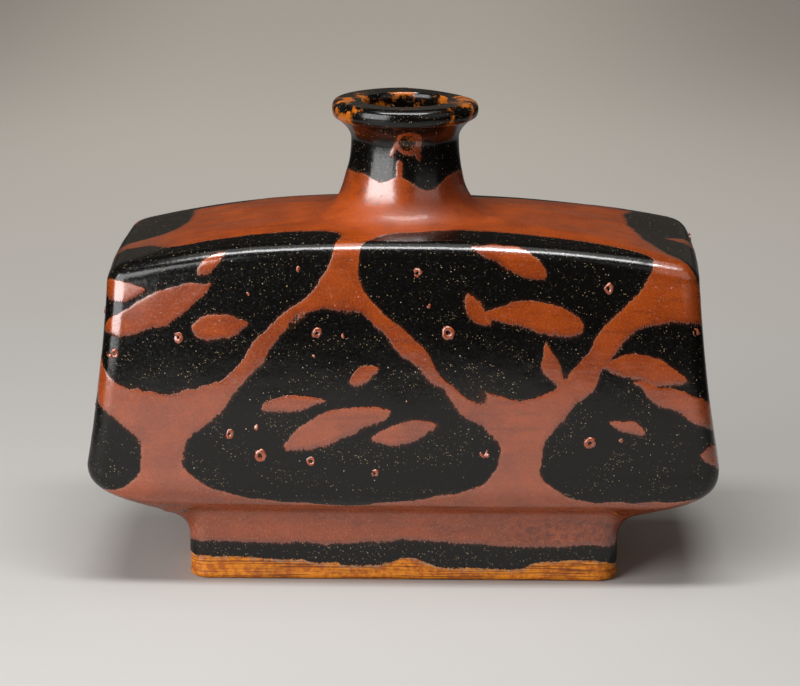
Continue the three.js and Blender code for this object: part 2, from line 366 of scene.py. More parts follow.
def foot_rounding(count):
    """Steps of a foot edge's quarter round: how far it has turned, and how far is still to go."""
    angles = np.array(steps(count)) * math.pi / 2
    return FOOT_EDGE_RADIUS * (1 - np.column_stack([np.cos(angles), np.sin(angles)]))


def foot_rows():
    """From inside the foot ring down, across its sole, and up the outside to the coil."""
    inside, inner_round, sole, outer_round, outside = FOOT_ROWS
    inner = -FOOT_WALL
    heights = np.linspace(FOOT_HEIGHT - JOINT_GAP, FOOT_EDGE_RADIUS, inside)
    made = [foot_ring(inner, z) for z in heights]
    made += [foot_ring(inner + along, z) for along, z in foot_rounding(inner_round)]
    flat = (inner + FOOT_EDGE_RADIUS, -FOOT_EDGE_RADIUS)
    made += [foot_ring(lerp(*flat, share), 0) for share in steps(sole)]
    mark["sole"] = len(made) - 1
    made += [foot_ring(-along, z) for z, along in foot_rounding(outer_round)]
    for share in steps(outside):
        made.append(foot_ring(0, lerp(FOOT_EDGE_RADIUS, COIL_LOW, share), FACE_LIFT * share))
    return made


def fillet_rows():
    """The foot's joint coil, from the foot wall out on to the underside."""
    low = foot_ring(0, COIL_LOW, FACE_LIFT)
    control = foot_ring(COIL_BEND_OUT, FOOT_HEIGHT - COIL_BEND_DROP, FACE_LIFT)
    high = underside_ring(COIL_REACH)
    return [bend(low, control, high, share) for share in steps(FILLET_ROWS)]


def neck_radius(z):
    """Outside of the neck from its base up to the waist."""
    share = (z - EDGE_HEIGHT) / (NECK_WAIST_HEIGHT - EDGE_HEIGHT)
    return NECK_WAIST_RADIUS + (NECK_BASE_RADIUS - NECK_WAIST_RADIUS) * (1 - share) ** 2


def collar_rows():
    """The coil's hollow curve from the roof up the neck; the roof's height differs by column."""
    low = roof_row(COLLAR_RADIUS, 1)
    control = round_row(COLLAR_BEND_RADIUS, 0)
    control[:, 2] = low[:, 2] + COLLAR_BEND_RISE
    high = round_row(neck_radius(COLLAR_TOP), COLLAR_TOP)
    return [bend(low, control, high, share) for share in steps(COLLAR_ROWS)]


def curve_rows(points, count):
    """Rows of the turned neck along a quadratic curve of (radius, height) points."""
    start, control, end = np.array(points, float)
    return [round_row(*bend(start, control, end, share)) for share in steps(count)]


def line_rows(start, end, count):
    start, end = np.array(start, float), np.array(end, float)
    return [round_row(*lerp(start, end, share)) for share in steps(count)]


def neck_rows():
    stem, flare = NECK_ROWS
    heights = [lerp(COLLAR_TOP, NECK_WAIST_HEIGHT, share) for share in steps(stem)]
    made = [round_row(neck_radius(z), z) for z in heights]
    waist = (NECK_WAIST_RADIUS, NECK_WAIST_HEIGHT)
    control = (NECK_WAIST_RADIUS, lerp(NECK_WAIST_HEIGHT, LIP_SEAT_HEIGHT, 0.5))
    return made + curve_rows([waist, control, (LIP_SEAT_RADIUS, LIP_SEAT_HEIGHT)], flare)


def lip_rows():
    under, over, dished, rolled, mouth = LIP_ROWS
    roll = LIP_RADIUS - (VASE_TOP - LIP_MIDDLE)
    dish = VASE_TOP - LIP_DISH
    inner = MOUTH_RADIUS + MOUTH_ROLL
    seat, low, high = LIP_SEAT_HEIGHT, LIP_MIDDLE, VASE_TOP
    made = curve_rows([(LIP_SEAT_RADIUS, seat), (LIP_RADIUS, seat), (LIP_RADIUS, low)], under)
    made += curve_rows([(LIP_RADIUS, low), (LIP_RADIUS, high), (roll, high)], over)
    made += line_rows((roll, high), (inner, dish), dished)
    mark["rim"] = len(rows) + len(made) - 1
    made += curve_rows([(inner, dish), (MOUTH_RADIUS, dish), (MOUTH_RADIUS, low)], rolled)
    return made + line_rows((MOUTH_RADIUS, low), (MOUTH_RADIUS, seat), mouth)


def bore_rows():
    above, below = BORE_ROWS
    waist = (NECK_BORE_RADIUS, NECK_WAIST_HEIGHT)
    top = (MOUTH_RADIUS, LIP_SEAT_HEIGHT)
    made = curve_rows([top, (NECK_BORE_RADIUS, LIP_SEAT_HEIGHT), waist], above)
    bottom = (NECK_HOLE_RADIUS - NECK_HOLE_GAP, EDGE_HEIGHT + ROOF_RISE)
    return made + curve_rows([waist, (NECK_BORE_RADIUS, NECK_BORE_BEND), bottom], below)


add_rows("foot", foot_rows())
add_rows("coil", fillet_rows())
add_rows("widest", [underside_ring(lerp(COIL_REACH, 1, s)) for s in steps(UNDERSIDE_ROWS)])
add_rows("wall", [wall_ring(share) for share in steps(WALL_ROWS)])
add_rows("edge", [edge_ring(share) for share in steps(EDGE_ROWS)])
add_rows("roof", [roof_row(COLLAR_RADIUS, share) for share in steps(ROOF_ROWS)])
add_rows("collar", collar_rows())
add_rows("neck", neck_rows())
add_rows("lip", lip_rows())
add_rows("bore", bore_rows())
form = np.array(rows)

# Places on the skin: round the vase from the middle of the front, and up its outline

middle_ring = wall_ring(0.5)
ring_lengths = np.linalg.norm(np.roll(middle_ring, -1, axis=0) - middle_ring, axis=1)
GIRTH = ring_lengths.sum()
travel = np.concatenate([[0], np.cumsum(ring_lengths)[:-1]])
around = (travel[FRONT_MIDDLE] - travel + GIRTH / 2) % GIRTH - GIRTH / 2
climbs = np.linalg.norm(np.diff(form, axis=0), axis=2)
upward = np.concatenate([np.zeros((1, COLUMNS)), np.cumsum(climbs, axis=0)])
upward -= upward[mark["widest"]]


def shape_by_hand():
    """The left shoulder sags, the underside there lifts,
    the neck leans at its root, and the lip is pinched and uneven."""
    x = form[..., 0]
    z = form[..., 2]
    body = between("coil", "roof")
    left = smooth(LEFT_FROM, LEFT_FULL, -x[body])
    form[body, :, 2] += left * LEFT_LIFT * hump(z[body], LEFT_LIFT_HEIGHT, LEFT_LIFT_SPREAD)
    form[body, :, 2] -= left * LEFT_SAG * smooth(LEFT_SAG_FROM, EDGE_HEIGHT, z[body])
    stem = between("roof", "neck")
    leaning = hump(z[stem], COLLAR_TOP, NECK_LEAN_SPREAD) * smooth(0.2, 1, -turn[:, 0])
    form[stem, :, 0] -= NECK_LEAN * leaning
    lip = between("neck", "rim")
    pinch = sum((size * np.sin(count * bearing + start) for size, count, start in LIP_WAVES), LIP_PINCH)
    pinch *= 1 - 0.8 * hump(bearing, math.pi / 2, 0.45)
    reach = np.linalg.norm(form[lip, :, :2], axis=2)
    outer = smooth(MOUTH_RADIUS + 3, LIP_RADIUS, reach)
    form[lip, :, :2] *= (1 - LIP_FLAT * pinch * outer / reach)[..., None]
    sag = LIP_DIP * pinch + LIP_SAG * hump(bearing, 2.1, 0.7)
    form[lip, :, 2] -= sag * smooth(LIP_SEAT_HEIGHT, VASE_TOP, z[lip])


shape_by_hand()

# Glaze decoration: black lobes staggered above and below a rust ribbon, with leaf dabs in them

DESIGN_SEED = 23
REPEATS = 5
PITCH = GIRTH / REPEATS
FIRST_LOBE = 44
CORNER_SOFTNESS = 9
RIBBON_MIDDLE = 48
RIBBON_SWING = 27
RIBBON_HALF_WIDTH = 3.8
RIBBON_SWELL = 1.6
RIBBON_UNEVEN = 3.6

# Lobes above and below the ribbon: height, half width, short reach and height of their dabs
UPPER_LOBE = (94, 64, 21, 70)
LOWER_LOBE = (4, 61, 18, 24)
LOBE_REACH = 64
LOBE_SIZES = (0.95, 1.05)
LOBE_SHORT_SIZES = (0.8, 1.15)
LOBE_TILT = 0.1
SHIFT_AROUND = 5
SHIFT_UPWARD = 3

# The dabs in a lobe: length, half width, and how far along and across their drift they lie
DABS = (
    (42, 6.4, -5, 1),
    (27, 5.2, 17, 14),
    (20, 4.2, -23, -14),
    (12, 3.0, 14, -13),
)
DAB_SCATTER = 3.5
DAB_LEANS = (0.8, 1.35)
DAB_TURN = 0.45
DAB_LENGTHS = (0.9, 1.15)
DAB_BOW = 0.3
DAB_WIDTHS = (0.85, 1.15)
STROKE_SAMPLES = 30
STROKE_MARGIN = 10
FAR_OUTSIDE = -60.0

# Depths that stand for plain glaze of one kind, and heights of the lines on the neck and the foot
ALL_BLACK = -6
ALL_RUST = 6
NO_CLAY = -20
BARE = 4
NECK_LINE = 169
FOOT_BLACK_TOP = 16.4
FOOT_CLAY_TOP = 7.2

# Drops and rises of the black line on the neck: size, bearing and width
NECK_WAVES = ((-2.0, -0.42, 0.2), (-4.8, 0.46, 0.28), (1.2, -0.1, 0.14), (-1.6, -2.4, 0.5))
NECK_RIPPLE = 1.2

# How dull the rust is on the roof, round the neck's root, and on the underside and foot
SATIN = 0.63
COLLAR_SATIN = 0.95
LOW_SATIN = 0.45
STREAK_STRETCH = np.array([0.15, 1, 1])
UNDER_LIP_ROWS = 10

# The burst bubble on the neck, with its runs and the drip under it: start, end and half width
SPOT_BEARING = 0.06
SPOT_HEIGHT = 183.3
SPOT_PATCH = 5.4
SPOT_HOLE = 3.3
SPOT_THIN = 0.56
SPOT_RUNS = (
    ((-4.2, -0.8), (-6.6, -4.8), 1.1),
    ((3.4, -2.4), (4.8, -5.8), 1.2),
    ((-3.3, -8.4), (-3.4, -15.5), 1.5),
)


def round_gap(place, middle):
    """Signed way round the vase from a middle to a place, the short way."""
    return (place - middle + GIRTH / 2) % GIRTH - GIRTH / 2


def along_stroke(length, lean, bow, share):
    """A point of a bowed stroke, from where it starts."""
    x = length * share * math.sin(lean) + bow * share**2 * math.cos(lean)
    y = length * share * math.cos(lean) - bow * share**2 * math.sin(lean)
    return x, y


def within(draw, middle, spread):
    """A random number near a middle."""
    return middle + draw.uniform(-spread, spread)


def blown_leaves(draw, middle, lean):
    """Leaf dabs of one lobe, scattered along a drift with no stem between them.
    A dab is its start, length, lean, sideways bow and half width."""
    leaves = []
    for length, half_width, along, across in DABS:
        along = within(draw, along, DAB_SCATTER)
        across = within(draw, across, DAB_SCATTER)
        x = middle[0] + along * math.sin(lean) + across * math.cos(lean)
        y = middle[1] + along * math.cos(lean) - across * math.sin(lean)
        turned = within(draw, lean, DAB_TURN)
        size = length * draw.uniform(*DAB_LENGTHS)
        bow = size * draw.uniform(-DAB_BOW, DAB_BOW)
        half = along_stroke(size, turned, bow, 0.5)
        width = half_width * draw.uniform(*DAB_WIDTHS)
        leaves.append(((x - half[0], y - half[1]), size, turned, bow, width))
    return leaves


def design():
    """Places and sizes of the black lobes and of the dabs in them, drawn at random."""
    draw = np.random.default_rng(DESIGN_SEED)
    lobes, strokes = [], []
    for index in range(2 * REPEATS):
        upper = index % 2 == 0
        level, half_width, stop, dab_level = UPPER_LOBE if upper else LOWER_LOBE
        middle = within(draw, FIRST_LOBE + index * PITCH / 2, SHIFT_AROUND)
        level = within(draw, level, SHIFT_UPWARD)
        half_width = half_width * draw.uniform(*LOBE_SIZES)
        reach = LOBE_REACH * draw.uniform(*LOBE_SIZES)
        stop = stop * draw.uniform(*LOBE_SHORT_SIZES)
        rise, fall = (stop, reach) if upper else (reach, stop)
        lobes.append((middle, level, half_width, rise, fall, draw.uniform(-LOBE_TILT, LOBE_TILT)))
        lean = draw.choice((-1, 1)) * draw.uniform(*DAB_LEANS)
        center = (within(draw, middle, SHIFT_AROUND), within(draw, dab_level, SHIFT_UPWARD))
        strokes += blown_leaves(draw, center, lean)
    return lobes, strokes


def outside_lobe(place, height, lobe):
    """Distance outside a tilted lobe; negative inside it."""
    middle, level, half_width, rise, fall, tilt = lobe
    x = round_gap(place, middle)
    y = height - level - tilt * x
    half_height = np.where(y > 0, rise, fall)
    radius = np.sqrt((x / half_width) ** 2 + (y / half_height) ** 2) + 1e-6
    slope = np.sqrt((x / half_width**2) ** 2 + (y / half_height**2) ** 2) + 1e-6
    return (radius - 1) * radius / slope


def stroke_swell(share):
    """Width of a stroke along its length: blunt at the start, widest early, thin at the end."""
    return math.sin(math.pi * (0.04 + 0.93 * share) ** 0.85) ** 0.8


def inside_stroke(place, height, stroke):
    """Depth inside one bowed brush stroke; negative outside it."""
    (start_place, start_height), length, lean, bow, width = stroke
    x = round_gap(place, start_place)
    y = height - start_height
    depth = np.full_like(x, FAR_OUTSIDE)
    reach = length + STROKE_MARGIN
    near = (np.abs(x) < reach) & (np.abs(y) < reach)
    for share in np.linspace(0, 1, STROKE_SAMPLES):
        middle_x, middle_y = along_stroke(length, lean, bow, share)
        away = np.hypot(x[near] - middle_x, y[near] - middle_y)
        depth[near] = np.maximum(depth[near], width * stroke_swell(share) - away)
    return depth


def soft_max(first, second, softness):
    """The larger of two depths, with the corner between them rounded."""
    near = np.maximum(softness - np.abs(first - second), 0) / softness
    return np.maximum(first, second) + softness * near**2 / 4


def rust_ribbon(place, height, slow):
    """Depth inside the ribbon that winds between the upper and lower lobes."""
    phase = 2 * math.pi * (place - FIRST_LOBE) / PITCH
    line = RIBBON_MIDDLE - RIBBON_SWING * np.cos(phase)
    slope = RIBBON_SWING * np.sin(phase) * 2 * math.pi / PITCH
    half_width = RIBBON_HALF_WIDTH + RIBBON_SWELL * np.sin(phase + 0.9) + RIBBON_UNEVEN * slow
    return half_width - np.abs(height - line) / np.sqrt(1 + slope**2)


def face_glaze(place, height, slow):
    """Depth inside the rust glaze of the body, in millimetres; negative in the black glaze."""
    lobes, strokes = design()
    rust = np.min([outside_lobe(place, height, lobe) for lobe in lobes], axis=0)
    painted = [inside_stroke(place, height, stroke) for stroke in strokes]
    rust = soft_max(rust, rust_ribbon(place, height, slow), CORNER_SOFTNESS)
    return np.max([rust, *painted], axis=0)


def inside_run(across, above, start, end, half_width):
    """Depth inside a straight run of glaze with round ends."""
    span = np.subtract(end, start)
    share = (across - start[0]) * span[0] + (above - start[1]) * span[1]
    share = np.clip(share / (span @ span), 0, 1)
    away = np.hypot(across - start[0] - share * span[0], above - start[1] - share * span[1])
    return half_width - away


def neck_glaze(z, lift):
    """Rust below a hanging black line, and a burst bubble with its runs."""
    line = sum((size * hump(bearing, middle, width) for size, middle, width in NECK_WAVES), NECK_LINE)
    line = line + NECK_RIPPLE * np.sin(3 * bearing) * smooth(1.1, 1.8, np.abs(bearing))
    rust = line - z + 0.4 * lift
    across = np.broadcast_to(NECK_WAIST_RADIUS * (bearing - SPOT_BEARING), z.shape)
    above = z - SPOT_HEIGHT
    patch = SPOT_PATCH - np.hypot(across - 0.9, 1.1 * (above + 0.7)) + 0.45 * lift
    burst = np.minimum(patch, np.hypot(across, above) - SPOT_HOLE)
    runs = [inside_run(across, above, *run) + 0.15 * lift for run in SPOT_RUNS]
    return np.max([rust, burst, *runs], axis=0)


def foot_clay(points, lift, slow):
    """Bare clay along the bottom of the foot, with one higher patch in front."""
    x, y, z = np.moveaxis(points, -1, 0)
    front = smooth(10, 30, -y)
    line = FOOT_CLAY_TOP + 2.2 * smooth(10, 70, -x) * front
    line = line + 5.5 * hump(x, 2, 11) * front
    return line - z + 0.8 * lift + 0.9 * slow + noise(points, 7, 16)


def paint(points):
    """Depths of rust and of bare clay over the whole skin, and a share that says where the black
    glaze runs thin and where the rust is dull."""
    z = points[..., 2]
    slow = noise(points, 24, 1)
    lift = layered(points, UPWARD_NOISE)
    rust = face_glaze(around + layered(points, AROUND_NOISE), upward + lift, slow)
    clay = np.full_like(rust, NO_CLAY)
    thin = np.zeros_like(rust)

    foot = slice(mark["coil"] + 1)
    rust[foot] = z[foot] - FOOT_BLACK_TOP + 0.6 * lift[foot] + noise(points[foot], 11, 17)
    clay[foot] = foot_clay(points[foot], lift[foot], slow[foot])
    low = slice(mark["widest"] + 1)
    thin[low] = LOW_SATIN * smooth(-4, -14, upward[low]) * smooth(0, 2, rust[low])
    inside = slice(mark["sole"] + 1)
    clay[inside] = np.maximum(clay[inside], BARE)

    roof = between("edge", "roof")
    inward = np.linspace(0, 1, ROOF_ROWS)[:, None]
    satin = lerp(SATIN, COLLAR_SATIN, smooth(0.7, 1, inward))
    satin = satin + 0.3 * noise(points[roof] * STREAK_STRETCH, 4, 15)
    thin[roof] = satin * smooth(0.05, 0.3, inward) * smooth(0, 2, rust[roof])
    collar = between("roof", "collar")
    rust[collar] = ALL_RUST
    thin[collar] = COLLAR_SATIN * smooth(COLLAR_TOP, COLLAR_TOP - 6, z[collar])

    neck = between("collar", "neck")
    rust[neck] = neck_glaze(z[neck], lift[neck])
    lip = between("neck", "lip")
    rust[lip.start:] = ALL_BLACK
    ends = np.abs(points[lip, :, 0]) / LIP_RADIUS
    patches = 0.5 + layered(points[lip], LIP_PATCHES)
    thin[lip] = patches * (0.36 + 0.86 * smooth(0.4, 0.9, ends))
    mouth = between("rim", "lip")
    thin[mouth] = 0.55 + 0.6 * noise(points[mouth], 6, 9)
    under_lip = slice(lip.start - UNDER_LIP_ROWS, lip.start)
    thin[under_lip] = 0.2 + 0.25 * smooth(-4, 16, -points[under_lip, :, 0])
    thin[under_lip] += 0.4 * noise(points[under_lip], 5, 10)
    spot = np.hypot(NECK_WAIST_RADIUS * (bearing - SPOT_BEARING), z[neck] - SPOT_HEIGHT)
    thin[neck] = np.where(spot < SPOT_HOLE, SPOT_THIN, thin[neck])
    return rust, clay, np.clip(thin, 0, 1)


rust, clay, thin = paint(form)
# 1 where rust hangs over black below it
hang = np.clip(np.gradient(rust, axis=0) / np.maximum(np.gradient(upward, axis=0), 0.05), 0, 1)

# Relief: uneven clay walls, thicker rust glaze, a step down to bare clay


def surface_normals(points):
    along = np.roll(points, -1, axis=1) - np.roll(points, 1, axis=1)
    up = np.gradient(points, axis=0)
    normal = np.cross(up, along)
    return normal / np.maximum(np.linalg.norm(normal, axis=2, keepdims=True), 1e-9)


form_normals = surface_normals(form)
relief = RUST_RELIEF * smooth(-0.5, 0.8, rust) - CLAY_STEP * smooth(-0.4, 0.6, clay)
relief += layered(form, RELIEF_NOISE)
room = lerp(SKIN_INSET, LIP_INSET, smooth(NECK_WAIST_HEIGHT, LIP_MIDDLE, form[..., 2]))
relief = np.minimum(relief * room / SKIN_INSET, room) - room
relief *= smooth(0, 4, form[..., 2])
skin = form + form_normals * relief[..., None]
normals = surface_normals(skin)

# Pieces as meshes

# Share of the bake given to faces that hardly show
HIDDEN_PATCH = 0.1

GLAZE_VALUES = ("rust_depth", "clay_depth", "hanging_edge", "thin_glaze")
PLAIN_VALUES = (ALL_BLACK, BARE, 0.0, 0.0)


def set_values(mesh, values):
    """Stores one number per point for each of the glaze values."""
    for index, label in enumerate(GLAZE_VALUES):
        layer = mesh.attributes.new(label, "FLOAT", "POINT")
        layer.data.foreach_set("value", np.ascontiguousarray(values[:, index], np.float32))


def dress(piece, slot, *nodes):
    """Fixes a finished piece to the vase, in place of the solids it stands for."""
    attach(piece, "root")
    if nodes:
        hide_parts(*nodes)
    return piece


def new_object(name, data):
    made = bpy.data.objects.new(name, data)
    bpy.context.scene.collection.objects.link(made)
    return made


def skin_values(picked_rows, picked_columns):
    """Points, glaze values, normals and bake places of a slice of the skin."""
    pick = np.ix_(picked_rows, picked_columns)
    values = np.stack([rust[pick], clay[pick], hang[pick], thin[pick]], axis=-1)
    across = np.linspace(0, 1, len(picked_columns))
    heights = upward[picked_rows].mean(axis=1)
    along = (heights - heights[0]) / (heights[-1] - heights[0])
    places = np.stack(np.meshgrid(across, lerp(HIDDEN_PATCH, 1, along)), axis=-1)
    return skin[pick], values, normals[pick], places


class Piece:
    """Points and faces of one closed piece. Skin faces show glaze, the rest are hidden."""

    def __init__(self):
        self.points = []
        self.values = []
        self.normals = []
        self.places = []
        self.skin_faces = []
        self.hidden_faces = []
        self.count = 0

    def add_points(self, columns, points, values=None, point_normals=None, places=None):
        """Adds a grid of points and returns their numbers in the same grid.
        Where the last column is the first again, the grid closes on itself."""
        shape = points.shape[:-1]
        number = int(np.prod(shape))
        for store, given, blank in (
            (self.values, values, PLAIN_VALUES),
            (self.normals, point_normals, (0.0, 0.0, 1.0)),
            (self.places, places, (0.0, 0.0)),
        ):
            plain = np.tile(blank, (number, 1))
            store.append(plain if given is None else given.reshape(plain.shape))
        self.points.append(points.reshape(-1, 3))
        numbers = np.arange(self.count, self.count + number).reshape(shape)
        self.count += number
        if columns[-1] == columns[0]:
            numbers[:, -1] = numbers[:, 0]
        return numbers

    def add_skin(self, picked_rows, columns, bake_start=0.0, bake_share=1.0):
        """Adds a slice of the skin with its faces."""
        points, values, point_normals, places = skin_values(picked_rows, columns)
        places = places * np.array([1, bake_share]) + np.array([0, bake_start])
        numbers = self.add_points(columns, points, values, point_normals, places)
        self.add_grid(numbers, self.skin_faces)
        return numbers

    def add_hidden(self, hidden_rows, columns):
        return self.add_points(columns, np.array(hidden_rows)[:, columns])

    def add_grid(self, numbers, store=None):
        """Adds the faces between neighbouring points of a grid, hidden unless a store is given."""
        quads = np.stack(
            [numbers[:-1, :-1], numbers[:-1, 1:], numbers[1:, 1:], numbers[1:, :-1]], axis=-1
        )
        store = self.hidden_faces if store is None else store
        store.extend(quads.reshape(-1, 4).tolist())

    def add_strip(self, first, second):
        """Joins two lines of points that hold different numbers of points."""
        i, j = 0, 0
        last_first, last_second = len(first) - 1, len(second) - 1
        while i < last_first or j < last_second:
            first_is_next = (i + 1) / last_first <= (j + 1) / last_second
            if j == last_second or (i < last_first and first_is_next):
                self.add_face([first[i], first[i + 1], second[j]])
                i += 1
            else:
                self.add_face([first[i], second[j + 1], second[j]])
                j += 1

    def add_face(self, numbers):
        self.hidden_faces.append([int(n) for n in numbers])

    def make(self, name, slot, material):
        points = np.concatenate(self.points) * METRES
        mesh = bpy.data.meshes.new(name)
        mesh.from_pydata(points.tolist(), [], self.skin_faces + self.hidden_faces)
        turned = bmesh.new()
        turned.from_mesh(mesh)
        bmesh.ops.recalc_face_normals(turned, faces=turned.faces)
        turned.to_mesh(mesh)
        turned.free()
        mesh.polygons.foreach_set("use_smooth", np.ones(len(mesh.polygons), bool))
        set_values(mesh, np.concatenate(self.values))
        self.set_corners(mesh, points)
        mesh.materials.append(material)
        return dress(new_object(name, mesh), slot, name)

    def set_corners(self, mesh, points):
        """Gives every face corner its bake place and its normal."""
        corner_point = np.zeros(len(mesh.loops), np.int32)
        mesh.loops.foreach_get("vertex_index", corner_point)
        sizes = np.zeros(len(mesh.polygons), np.int32)
        mesh.polygons.foreach_get("loop_total", sizes)
        face_normal = np.zeros(len(mesh.polygons) * 3, np.float32)
        mesh.polygons.foreach_get("normal", face_normal)
        face_of_corner = np.repeat(np.arange(len(sizes)), sizes)
        on_skin = (face_of_corner < len(self.skin_faces))[:, None]

        low, high = points.min(axis=0), points.max(axis=0)
        share = (points - low) / (high - low)
        hidden_place = np.column_stack([share[:, 0], share[:, 1:].mean(axis=1)]) * HIDDEN_PATCH
        places = np.concatenate(self.places)
        corner_place = np.where(on_skin, places[corner_point], hidden_place[corner_point])
        layer = mesh.uv_layers.new(name="OFBake")
        layer.data.foreach_set("uv", corner_place.astype(np.float32).ravel())

        skin_normal = np.concatenate(self.normals)[corner_point]
        flat_normal = face_normal.reshape(-1, 3)[face_of_corner]
        mesh.normals_split_custom_set(np.where(on_skin, skin_normal, flat_normal).tolist())


def row_range(after, until):
    """Row numbers from the last row of one part of the skin to the last row of another."""
    return np.arange(mark[after], mark[until] + 1)


def sunk(row, depth=HIDDEN_DEPTH):
    return row - np.array([0, 0, depth])


def inner_rows():
    """Levels of the cavity wall, from its floor up to the hole under the neck."""
    made = [foot_ring(-FOOT_WALL / 2, FOOT_HEIGHT + WALL)]
    made += [underside_ring(share, WALL) for share in np.linspace(0, 1, 5)]
    made += [wall_ring(share, WALL) for share in steps(10)]
    made += [edge_ring(share, WALL) for share in steps(3)]
    return made + [roof_row(NECK_HOLE_RADIUS, share, WALL) for share in steps(6)]


def make_half(name, first_column, material):
    """One pressed half of the body: glazed skin outside, plain cavity wall inside."""
    half = COLUMNS // 2
    columns = np.arange(first_column, first_column + half + 1) % COLUMNS
    piece = Piece()
    outer = piece.add_skin(row_range("coil", "roof"), columns)

    level = FOOT_HEIGHT + UNDER_RISE
    under = [foot_ring(-FOOT_WALL / 2, level), foot_ring(-1, level, FACE_LIFT)]
    under += [sunk(underside_ring(share), -UNDER_RISE) for share in (0, COIL_REACH / 2)]
    under = np.concatenate([piece.add_hidden(under, columns), outer[:1]])
    piece.add_grid(under)
    shelf_radii = (COLLAR_RADIUS - HIDDEN_DEPTH, NECK_HOLE_RADIUS)
    shelf = [sunk(roof_row(radius, 1)) for radius in shelf_radii]
    shelf = np.concatenate([outer[-1:], piece.add_hidden(shelf, columns)])
    piece.add_grid(shelf)

    thinned = columns[np.unique(np.append(np.arange(0, half, INNER_STEP), half))]
    inner = piece.add_hidden(inner_rows(), thinned)
    piece.add_grid(inner)

    piece.add_face(under[0])
    piece.add_face(inner[0])
    piece.add_face([under[0, 0], under[0, -1], inner[0, -1], inner[0, 0]])
    piece.add_strip(shelf[-1], inner[-1])
    for side in (0, -1):
        line = np.concatenate([under[:-1, side], outer[:, side], shelf[1:, side]])
        piece.add_strip(line, inner[:, side])
    return piece.make(name, "rust_glaze", material)


def make_ring(name, skin_rows, hidden_rows, columns, slot, material):
    """A piece that goes all round: a closed outline, partly glazed skin, swept round the vase."""
    piece = Piece()
    closed = np.append(columns, columns[0])
    shown = piece.add_skin(skin_rows, closed)
    hidden = piece.add_hidden(hidden_rows, closed)
    piece.add_grid(np.concatenate([shown[-1:], hidden, shown[:1]]))
    return piece.make(name, slot, material)


def make_strip(name, columns, material):
    """One strip of the foot ring, between its two mitres."""
    piece = Piece()
    shown = piece.add_skin(np.arange(mark["foot"] + 1), columns)
    top = piece.add_hidden([foot_ring(-HIDDEN_DEPTH, FOOT_HEIGHT - JOINT_GAP)], columns)
    piece.add_grid(np.concatenate([shown[-1:], top, shown[:1]]))
    for side in (0, -1):
        piece.add_face(np.concatenate([shown[:, side], top[:, side]]))
    return piece.make(name, "rust_glaze", material)


# Materials


class Nodes:
    """Short ways to make and link the nodes of a tree."""

    def __init__(self, tree):
        self.tree = tree

    def put(self, socket, value):
        if isinstance(value, bpy.types.NodeSocket):
            self.tree.links.new(value, socket)
        else:
            socket.default_value = value

    def set(self, **sockets):
        """Sets the surface shader's own sockets, named with underscores for spaces."""
        shader = self.tree.nodes["Principled BSDF"]
        for name, value in sockets.items():
            self.put(shader.inputs[name.replace("_", " ")], value)

    def node(self, kind, inputs=None, **settings):
        made = self.tree.nodes.new(kind)
        for key, value in settings.items():
            setattr(made, key, value)
        for key, value in (inputs or {}).items():
            self.put(made.inputs[key], value)
        return made

    def math(self, operation, first, second=0.0):
        return self.node("ShaderNodeMath", {0: first, 1: second}, operation=operation).outputs[0]

    def add(self, first, second):
        return self.math("ADD", first, second)

    def minus(self, first, second):
        return self.math("SUBTRACT", first, second)

    def times(self, first, second):
        return self.math("MULTIPLY", first, second)

    def most(self, first, second):
        return self.math("MAXIMUM", first, second)

    def mix(self, factor, first, second, data_type="RGBA"):
        inputs = {"Factor": factor, "A": first, "B": second}
        return self.node("ShaderNodeMix", inputs, data_type=data_type).outputs["Result"]

    def blend(self, factor, first, second):
        return self.mix(factor, first, second, "FLOAT")

    def ramp(self, value, low, high, start=0.0, end=1.0):
        inputs = {"Value": value, "From Min": low, "From Max": high, "To Min": start, "To Max": end}
        made = self.node("ShaderNodeMapRange", inputs, interpolation_type="SMOOTHSTEP")
        return made.outputs["Result"]

    def attribute(self, name):
        return self.node("ShaderNodeAttribute", attribute_name=name).outputs["Fac"]

    def noise(self, vector, scale, detail=2.0, roughness=0.5):
        inputs = {"Vector": vector, "Scale": scale, "Detail": detail, "Roughness": roughness}
        return self.node("ShaderNodeTexNoise", inputs).outputs["Fac"]

    def ragged(self, vector, scale, detail):
        """Noise to both sides of 0."""
        return self.minus(self.noise(vector, scale, detail), 0.5)

    def stretched(self, vector, scale):
        inputs = {"Vector": vector, "Scale": scale}
        return self.node("ShaderNodeMapping", inputs).outputs["Vector"]

    def separate(self, vector):
        return self.node("ShaderNodeSeparateXYZ", {0: vector}).outputs

    def millimetres(self):
        place = self.node("ShaderNodeTexCoord").outputs["Object"]
        inputs = {0: place, "Scale": 1 / METRES}
        return self.node("ShaderNodeVectorMath", inputs, operation="SCALE").outputs["Vector"]

    def specks(self, vector, scale, size):
        """Round specks of differing size, and a random share to fade them by."""
        inputs = {"Vector": vector, "Scale": scale, "Randomness": 1.0}
        cells = self.node("ShaderNodeTexVoronoi", inputs)
        chosen = self.node("ShaderNodeSeparateColor", {0: cells.outputs["Color"]})
        radius = self.times(chosen.outputs[0], size)
        inside = self.minus(radius, cells.outputs["Distance"])
        return self.ramp(inside, 0.0, 0.06), chosen.outputs[1]

    def bump(self, height):
        inputs = {"Height": height, "Distance": METRES, "Strength": 1.0}
        return self.node("ShaderNodeBump", inputs).outputs["Normal"]


def color(red, green, blue):
    return (red, green, blue, 1.0)


def new_material(name):
    material = bpy.data.materials.new(name)
    material.use_nodes = True
    return material, Nodes(material.node_tree)
